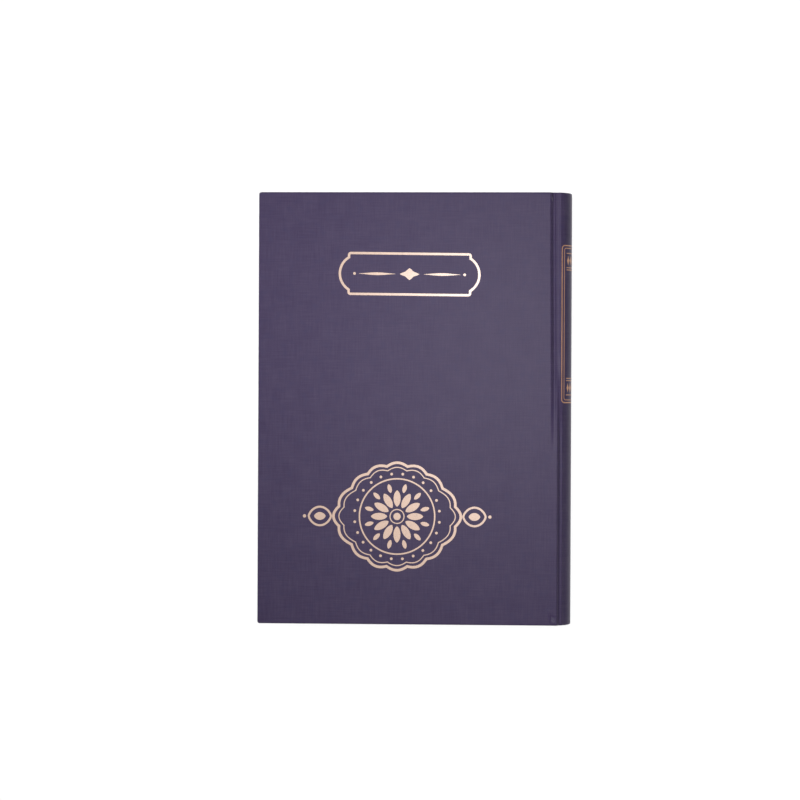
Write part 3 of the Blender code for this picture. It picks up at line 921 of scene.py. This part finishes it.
def guard_points(hinge):
    """The guard: from the pastedown's edge straight down to the glued strip, then along it."""
    low, high = corners("front_pastedown")
    glued = fold_top + ENDPAPER * 1.9
    x = np.array([high[0] - 0.05 * MM, hinge + 1.3 * MM, hinge + 2.4 * MM, hinge + GLUED_WIDTH])[None, :]
    z = np.array([high[2] - 0.02 * MM, glued + 0.05 * MM, glued, glued])[None, :]
    return grid(x, np.linspace(low[1] + GUARD_SHORTER, high[1] - GUARD_SHORTER, 13)[:, None], z)


def endpaper(side, kind, points, thickness, grows):
    """A piece of endpaper on one side of the book, with its plan as its flat place."""
    name = f"{side}_{kind}_paper"
    placed = SIDES[side](points)
    return sheet(name, placed, points[..., :2], None, finishes["endsheet"], "endsheet", thickness, grows)


hinge, _, hinge_level = joint_place["front_flyleaf_turn"]
for side in SIDES:
    paste = endpaper(side, "pastedown", pastedown_points(), ENDPAPER, -1)
    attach(paste, f"{side}_cover")
    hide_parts(f"{side}_pastedown")
    leaf = endpaper(side, "flyleaf", flyleaf_points(hinge, hinge_level), ENDPAPER, 0)
    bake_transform(leaf)
    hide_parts(f"{side}_flyleaf")
    guard = endpaper(side, "guard", guard_points(hinge), GUARD, 0)
    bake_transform(guard)

# %% [markdown]
# ## Headbands
#
# A headband is a cord wrapped in silk and glued across the end of the folds. The surface is a tube
# along an arc whose radius swells once for every wrap, and the wraps lean as wound thread does.

# %% Headbands
BAND_WRAPS = 33
BAND_SIDES = 14
BAND_HALF_ANGLE = math.radians(58)
BAND_RIPPLE = 0.1
BAND_END_POWER = 80


def headband_points(name):
    """A tube along the arc of the folds: radius times a ripple of one wave a wrap, closed at both ends."""
    low, high = corners(name)
    radius = (high[1] - low[1]) / 2
    arc = high[0] - radius - SPINE_CENTRE_X
    share = np.linspace(0, 1, BAND_WRAPS * 8 + 1)[:, None]
    round_it = np.linspace(0, 2 * math.pi, BAND_SIDES + 1)[None, :]
    wraps = share * BAND_WRAPS + round_it / (2 * math.pi) * 0.5
    ripple = 1 - BAND_RIPPLE + BAND_RIPPLE * np.abs(np.cos(math.pi * wraps))
    closed = np.sqrt(np.clip(1 - (2 * share - 1) ** BAND_END_POWER, 0, 1))
    thick = radius * ripple * closed
    angle = BAND_HALF_ANGLE * (1 - 2 * share)
    reach = arc + thick * np.cos(round_it)
    x = SPINE_CENTRE_X + reach * np.cos(angle)
    z = MIDDLE_Z + reach * np.sin(angle)
    y = (low[1] + high[1]) / 2 + thick * np.sin(round_it)
    return grid(x, y, z), grid(wraps, round_it / (2 * math.pi))


for name in ("head_headband", "tail_headband"):
    mesh = surface(f"{name}_silk", *headband_points(name), closed=True)
    band = piece_of(f"{name}_silk", mesh, silk_finish)
    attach(band, "spine")
    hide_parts(name)
    print(band.name, len(mesh.polygons), "faces")

# %% [markdown]
# ## Foil stamping
#
# The die leaves two kinds of mark: lines along a path, and solid figures. A line is a low, flat-topped
# profile carried along its path with mitred corners; a figure is its outline drawn in towards its
# centre. Paint in a material would be quicker, but foil has an edge that catches the light.

# %% Foil lines and figures
FOIL = 0.03 * MM
FOIL_SLOPE = 0.06 * MM
MITRE_LIMIT = 0.35


def left_of(ways):
    """Unit steps to the left of ways[n, 2]."""
    return (ways / np.linalg.norm(ways, axis=1, keepdims=True)) @ np.array([[0.0, 1.0], [-1.0, 0.0]])


def foil_line(path, width, closed=True):
    """Flat-topped band along path[n, 2]: points[n, 5, 3] of across, along and height.

    Each path point is pushed sideways along the mean of its two segment normals, lengthened by the
    mitre, 1 over the cosine of half the turn.
    """
    before = np.roll(path, 1, axis=0)
    after = np.roll(path, -1, axis=0)
    if not closed:
        before[0] = 2 * path[0] - path[1]
        after[-1] = 2 * path[-1] - path[-2]
    normal = left_of(path - before)
    mean = normal + left_of(after - path)
    push = mean / np.maximum((mean * normal).sum(1, keepdims=True), MITRE_LIMIT)
    half = np.broadcast_to(np.asarray(width, float) / 2, len(path))[:, None]
    inner = np.maximum(half - FOIL_SLOPE, 0.0)
    flat = path[:, None, :] + push[:, None, :] * np.stack([-half, -inner, inner, half, -half], 1)
    points = grid(flat[..., 0], flat[..., 1], [0.0, FOIL, FOIL, 0.0, 0.0])
    if closed:
        return np.concatenate([points, points[:1]])
    tips = np.broadcast_to(points[[0, -1]].mean(1, keepdims=True), (2, 5, 3))
    return np.concatenate([tips[:1], points, tips[1:]])


def foil_figure(outline, centre):
    """A solid figure: its outline[n, 2] drawn in to the centre, flat on top and closed underneath."""
    rim = np.concatenate([outline, outline[:1]])[:, None, :] - centre
    slope_start = 1 - FOIL_SLOPE / np.linalg.norm(rim, axis=-1).max()
    flat = centre + rim * np.array([0.0, 0.6, slope_start, 1.0, 0.0])[None, :, None]
    return grid(flat[..., 0], flat[..., 1], [FOIL, FOIL, FOIL, 0.0, 0.0])


def turns(count):
    """Angles all the way round, in so many steps."""
    return np.linspace(0, 2 * math.pi, count, endpoint=False)


def oval(centre, across, along, count=24):
    return centre + grid(across * np.cos(turns(count)), along * np.sin(turns(count)))


def dot(centre, radius, count=24):
    return foil_figure(oval(centre, radius, radius, count), centre)


def lozenge(centre, across, along, hollow=0.16):
    """Four points with sides that bow in a little."""
    turn = turns(32)
    reach = 1 / (np.abs(np.cos(turn)) + np.abs(np.sin(turn)))
    reach = reach * (1 - hollow * np.sin(2 * turn) ** 2)
    return foil_figure(centre + grid(across * reach * np.cos(turn), along * reach * np.sin(turn)), centre)


print("foil", FOIL / MM, "mm thick, with slopes", FOIL_SLOPE / MM, "mm wide")

# %% [markdown]
# The marks are worked out flat and then laid on the cover or rolled round the spine. All the marks of
# one stamping become one piece, and a low sharp angle keeps their tops flat in the light.

# %% Stamping
FOIL_SHARP_ANGLE = math.radians(20)


def on_cover(points):
    """Lay flat foil on the front cover."""
    return points + np.array([0.0, 0.0, book_top])


def on_spine(points):
    """Roll flat foil round the spine: across becomes an angle, height is added to the radius."""
    x, z = spine_face(points[..., 0] / SPINE_RADIUS, points[..., 1], points[..., 2])
    return grid(x, points[..., 1], z)


def stamp(name, marks, lay, body, finish):
    """Join foil marks into one piece laid on a body."""
    shape = bmesh.new()
    for mark in marks:
        mesh = surface(name, lay(mark), mark[..., :2], closed=True)
        shape.from_mesh(mesh)
        bpy.data.meshes.remove(mesh)
    mesh = bpy.data.meshes.new(name)
    shape.to_mesh(mesh)
    shape.free()
    piece = piece_of(name, mesh, finish, FOIL_SHARP_ANGLE)
    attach(piece, body)
    print(name, len(marks), "marks,", len(mesh.polygons), "faces")


print("foil is shaded flat from", round(math.degrees(FOIL_SHARP_ANGLE)), "degrees")

# %% [markdown]
# ## The label
#
# High on the cover is a label frame of an old pattern: straight rules above and below, and round ends
# set in by a small step. Inside, a swelled rule with a lozenge, as printers use, fills the space. The
# whole is a shade out of square, as a die set by hand leaves it.

# %% Label frame
LABEL_CENTRE = np.array([-4.0, 94.0]) * MM
LABEL_STEP_X = 42.6 * MM
LABEL_HALF_HEIGHT = 14.3 * MM
LABEL_STEP = 3.0 * MM
LABEL_BULGE = 6.3 * MM
LABEL_CORNER = 1.3 * MM
LABEL_LINE = 1.75 * MM
LABEL_TILT = math.radians(-0.6)
LABEL_LOZENGE = (7.0 * MM, 4.2 * MM)
RULE_START = 9.5 * MM
RULE_END = 36 * MM
RULE_THIN = 0.25 * MM
RULE_SWELL = 1.7 * MM
RULE_DOT = 38.6 * MM
DOT_RADIUS = 1.0 * MM


def label_frame():
    """The right end from foot to head, an arc with a step and a round corner at both ends of it.

    The left end is the right end turned half round, and the rules are the two gaps between them.
    """
    rise = LABEL_HALF_HEIGHT - LABEL_STEP
    radius = (rise**2 + LABEL_BULGE**2) / (2 * LABEL_BULGE)
    reach = math.asin(rise / radius)
    turn = np.linspace(-reach, reach, 25)
    arc = grid(LABEL_STEP_X + LABEL_BULGE - radius + radius * np.cos(turn), radius * np.sin(turn))
    quarter = np.linspace(0, math.pi / 2, 5)
    corner_x = LABEL_STEP_X - LABEL_CORNER * (1 - np.cos(quarter))
    corner_y = LABEL_HALF_HEIGHT - LABEL_CORNER * (1 - np.sin(quarter))
    corner = grid(corner_x, corner_y)
    right = np.concatenate([(corner * [1, -1])[::-1], arc, corner])
    return np.concatenate([right, -right]) + LABEL_CENTRE


def swelled_rule(way):
    """A rule that is widest in its middle and runs out to points: width times a sine."""
    share = np.linspace(0.02, 0.98, 25)
    path = LABEL_CENTRE + grid(way * (RULE_START + (RULE_END - RULE_START) * share), 0.0)
    return foil_line(path, RULE_THIN + RULE_SWELL * np.sin(math.pi * share) ** 1.5, closed=False)


def on_label(points):
    """Lay the label's foil on the cover, turned about its centre."""
    cosine, sine = math.cos(LABEL_TILT), math.sin(LABEL_TILT)
    flat = LABEL_CENTRE + (points[..., :2] - LABEL_CENTRE) @ np.array([[cosine, sine], [-sine, cosine]])
    return on_cover(np.concatenate([flat, points[..., 2:]], -1))


marks = [foil_line(label_frame(), LABEL_LINE), lozenge(LABEL_CENTRE, *LABEL_LOZENGE)]
for way in (-1, 1):
    marks += [swelled_rule(way), dot(LABEL_CENTRE + np.array([way * RULE_DOT, 0]), DOT_RADIUS)]
stamp("label_foil", marks, on_label, "front_cover", foil_finish)

# %% [markdown]
# ## The medallion
#
# Low on the cover lies a lobed medallion with a pendant at each end, a traditional ornament of bindings.
# Its outline is an ellipse whose radius swells in sixteen lobes, drawn to a point at both ends; inside
# are a rosette of petals and a ring of dots. Formulas keep every mark even, where drawing would not.

# %% Medallion
MEDALLION_CENTRE = np.array([-12.0, -75.8]) * MM
MEDALLION_HALF = np.array([39.0, 37.5]) * MM
LOBES = 16
LOBE_SWELL = 0.055
END_STRETCH = 0.14
PETALS = 12
# Petals have a distance of their middle from the centre, a length and a width.
PETAL = np.array([12.6, 11.5, 5.0]) * MM
BUD = np.array([20.2, 6.4, 3.0]) * MM
PENDANT = np.array([54.2, 15.6, 13.0]) * MM
PENDANT_HEART = np.array([54.2, 8.2, 5.6]) * MM
PENDANT_LINE = 1.5 * MM
PENDANT_TIP = 65.0 * MM
TIP_RADIUS = 1.2 * MM
# An outline has a scale and a line width, a ring has a radius, a number of points and a line width.
OUTLINES = ((0.985, 1.9 * MM), (0.90, 0.8 * MM))
RINGS = ((26.4 * MM, 96, 1.1 * MM), (4.9 * MM, 48, 0.8 * MM))
EYE_RADIUS = 2.6 * MM
RING_DOTS = 24
RING_DOT_REACH = 29.9 * MM


def lobed(scale, count=320):
    """An ellipse times one plus a lobe wave, its ends drawn out by a power of the cosine."""
    turn = turns(count)
    lobe = 1 + LOBE_SWELL * (np.abs(np.cos(turn * LOBES / 2)) - 0.64)
    x = np.cos(turn) * lobe * (1 + END_STRETCH * np.cos(turn) ** 8)
    return MEDALLION_CENTRE + grid(x, np.sin(turn) * lobe) * MEDALLION_HALF * scale


def petal(turn, reach, length, width, count=24):
    """A pointed oval at a distance from the centre: its width is a sine to a power over its length."""
    sine = np.sin(turns(count))
    out = np.cos(turns(count)) * length / 2
    side = sine * np.abs(sine) ** 0.35 * width / 2
    way = np.array([math.cos(turn), math.sin(turn)])
    across = np.array([-way[1], way[0]])
    middle = MEDALLION_CENTRE + way * reach
    return middle + out[:, None] * way + side[:, None] * across, middle


marks = [foil_line(lobed(scale), width) for scale, width in OUTLINES]
for turn in turns(PETALS):
    marks += [foil_figure(*petal(turn, *PETAL)), foil_figure(*petal(turn + math.pi / PETALS, *BUD))]
for radius, count, width in RINGS:
    marks.append(foil_line(oval(MEDALLION_CENTRE, radius, radius, count), width))
marks.append(dot(MEDALLION_CENTRE, EYE_RADIUS))
dot_places = oval(MEDALLION_CENTRE, RING_DOT_REACH, RING_DOT_REACH, 2 * RING_DOTS)[1::2]
marks += [dot(place, DOT_RADIUS, 16) for place in dot_places]
for turn in turns(2):
    tip = MEDALLION_CENTRE + np.array([math.cos(turn) * PENDANT_TIP, 0])
    marks.append(foil_line(petal(turn, *PENDANT, 64)[0], PENDANT_LINE))
    marks += [foil_figure(*petal(turn, *PENDANT_HEART)), dot(tip, TIP_RADIUS)]
stamp("medallion_foil", marks, on_cover, "front_cover", foil_finish)

# %% [markdown]
# ## The spine panel
#
# The upper half of the spine has a panel with a double border, with rules across it at both ends and a
# row of lozenges between them. It is worked out flat and rolled round the spine.

# %% Spine panel
PANEL_CENTRE = np.array([0.0, 59.5]) * MM
PANEL_HALF = np.array([14.5, 55.0]) * MM
PANEL_CORNER = 2.2 * MM
PANEL_INSET = 1.9 * MM
PANEL_LINE = 0.75 * MM
INSET_LINE = 0.55 * MM
RULE_LINE = 0.6 * MM
PANEL_RULES = (38.0 * MM, 39.6 * MM, 49.6 * MM)
LOZENGE_ROW = 44.6 * MM
LOZENGE_PLACES = np.linspace(-9.0, 9.0, 7) * MM
PANEL_LOZENGE = (1.25 * MM, 3.4 * MM, 0.1)


def round_rectangle(half, corner):
    """Quarter circles at four corners, with points along the sides so that the path can be rolled."""
    quarter = np.linspace(0, math.pi / 2, 7)
    inner = half - corner
    arc = grid(inner[0] + corner * np.cos(quarter), inner[1] + corner * np.sin(quarter))
    side = grid(np.linspace(inner[0], -inner[0], 26)[1:-1], half[1])
    flank = grid(-half[0], np.linspace(inner[1], -inner[1], 50)[1:-1])
    head = np.concatenate([arc, side, (arc * [-1, 1])[::-1], flank])
    return PANEL_CENTRE + np.concatenate([head, -head])


marks = [foil_line(round_rectangle(PANEL_HALF, PANEL_CORNER), PANEL_LINE)]
marks.append(foil_line(round_rectangle(PANEL_HALF - PANEL_INSET, PANEL_CORNER * 0.6), INSET_LINE))
rule_across = np.linspace(-1, 1, 25) * (PANEL_HALF[0] - 2 * PANEL_INSET)
for way in (-1, 1):
    rules = [grid(rule_across, PANEL_CENTRE[1] + way * away) for away in PANEL_RULES]
    marks += [foil_line(rule, RULE_LINE, closed=False) for rule in rules]
    spots = grid(LOZENGE_PLACES, PANEL_CENTRE[1] + way * LOZENGE_ROW)
    marks += [lozenge(spot, *PANEL_LOZENGE) for spot in spots]
stamp("spine_panel_foil", marks, on_spine, "spine", rubbed_foil_finish)

# %% [markdown]
# ## Hidden pieces of the case
#
# Board, card, gauze, lining and thread lie inside the case. Their solids have the right shape, so they
# stay, and each gets the finish of its own stuff.

# %% Finishes of the hidden pieces
hidden = {
    "greyboard": ["front_board", "back_board"],
    "spine_card": ["spine_card"],
    "kraft_paper": ["spine_lining"],
    "gauze": ["spine_mull", "front_mull_flange", "back_mull_flange"],
    "linen_thread": [f"sewing_row_{row}" for row in range(1, 6)],
}
for stuff, nodes in hidden.items():
    for node in nodes:
        frame["nodes"][node].data.materials.clear()
        frame["nodes"][node].data.materials.append(finishes[stuff])
    print(stuff, "on", len(nodes), "hidden pieces")

# %% [markdown]
# ## Floor and light
#
# The book lies on a white floor in white surroundings. The floor is thin to the camera: most of what it
# shows is the surroundings and a glow of its own, so the shadow is faint, and what turns below it when
# the back cover opens can still be seen.

# %% Floor and surroundings
FLOOR_HALF = 4.0
FLOOR_LEVEL = -0.3 * MM
FLOOR_WHITE = (0.80, 0.80, 0.80)
FLOOR_SHOWN = 0.25
FLOOR_GLOW = 0.66
SURROUND_LIGHT = 0.28


def seen_by_eye(finish):
    """1 for any ray that carries a picture: seen, mirrored or through glass."""
    seen = finish.ray("Camera").math("MAXIMUM", finish.ray("Glossy"))
    return seen.math("MAXIMUM", finish.ray("Transmission"))


def white_floor():
    side = np.linspace(-FLOOR_HALF, FLOOR_HALF, 3)
    points = grid(side[None, :], side[:, None], FLOOR_LEVEL)
    floor = bpy.data.objects.new("floor", surface("floor", points, points[..., :2]))
    bpy.context.scene.collection.objects.link(floor)
    paint = Finish("floor_white", Roughness=0.9)
    paint.set(Base_Color=FLOOR_WHITE)
    strength = seen_by_eye(paint) * FLOOR_GLOW
    glow = paint.node("ShaderNodeEmission", {}, {"Color": (1, 1, 1), "Strength": strength})
    lit = paint.node("ShaderNodeAddShader", {}, {0: Wire(paint, paint.shader.outputs[0]), 1: glow})
    clear = paint.node("ShaderNodeBsdfTransparent")
    thin = paint.ray("Camera") * (1 - FLOOR_SHOWN) + paint.ray("Shadow")
    shown = paint.node("ShaderNodeMixShader", {}, {0: thin, 1: lit, 2: clear})
    paint.tree.links.new(shown.socket, paint.tree.nodes["Material Output"].inputs["Surface"])
    floor.data.materials.append(paint.material)


def white_surroundings():
    """White to what sees them, and a plain fill to what they light."""
    around = Finish("surroundings", world=True, Color=(1, 1, 1, 1))
    around.set(Strength=seen_by_eye(around) * (1 - SURROUND_LIGHT) + SURROUND_LIGHT)
    bpy.context.scene.world = around.material


white_floor()
white_surroundings()
print("floor", 2 * FLOOR_HALF, "m wide, at", FLOOR_LEVEL / MM, "mm")

# %% [markdown]
# The key light is soft and stands on the left. Its beam is narrowed as by a grid and aimed at the right
# side, so the cloth is darkest at the lower left, where one large lamp would light it evenly. A second
# light hangs overhead, where the cover mirrors it to the camera, and gives the foil its glow.

# %% Light
KEY_PLACE = (-0.46, 0.22, 0.60)
KEY_AIM = (0.109, 0.050, 0.0)
KEY_SIZE = 0.25
KEY_SPREAD = math.radians(51)
KEY_WATTS = 0.365
SHEEN_PLACE = (0.112, 0.095, 1.75)
SHEEN_SIZE = 0.25
SHEEN_WATTS = 7.8


def soft_light(name, place, aim, size, watts, beam=math.pi, mirrored=True):
    """A square soft light that faces a point; beam is the angle that its light is held to."""
    data = bpy.data.lights.new(name, "AREA")
    data.size = size
    data.energy = watts
    data.spread = beam
    lamp = bpy.data.objects.new(name, data)
    lamp.visible_camera = False
    lamp.visible_glossy = mirrored
    facing = (Vector(aim) - Vector(place)).to_track_quat("-Z", "Y")
    lamp.matrix_world = Matrix.Translation(place) @ facing.to_matrix().to_4x4()
    bpy.context.scene.collection.objects.link(lamp)
    print(name, "at", place, "m,", watts, "W")


soft_light("key_light", KEY_PLACE, KEY_AIM, KEY_SIZE, KEY_WATTS, KEY_SPREAD, mirrored=False)
soft_light("sheen_light", SHEEN_PLACE, (0, 0, 0), SHEEN_SIZE, SHEEN_WATTS)
bpy.context.scene.view_settings.view_transform = "Standard"

# %% [markdown]
# ## Camera
#
# The photograph looks almost straight down from a metre and a half, with a long lens. The camera stands
# a little to the spine's side of the middle and leans by a couple of degrees, which makes the spine
# side look slightly taller.

# %% Camera
CAMERA_PLACE = (0.0467, 0.0058, 1.498)
CAMERA_LEAN = math.radians(2.22)
CAMERA_ROLL = math.radians(0.256)
CAMERA_LENS_MM = 94.5

camera = bpy.data.objects.new("camera", bpy.data.cameras.new("camera"))
camera.data.lens = CAMERA_LENS_MM
camera.data.sensor_width = 36.0
turned = Matrix.Rotation(CAMERA_LEAN, 4, "Y") @ Matrix.Rotation(CAMERA_ROLL, 4, "Z")
camera.matrix_world = Matrix.Translation(CAMERA_PLACE) @ turned
bpy.context.scene.collection.objects.link(camera)
bpy.context.scene.camera = camera
print("camera at", CAMERA_PLACE, "m")

# %% [markdown]
# ## Last update
#
# The scene is brought up to date at the end. The dressed book has to stay the size of the
# imported model.

# %% Finish
bpy.context.view_layer.update()
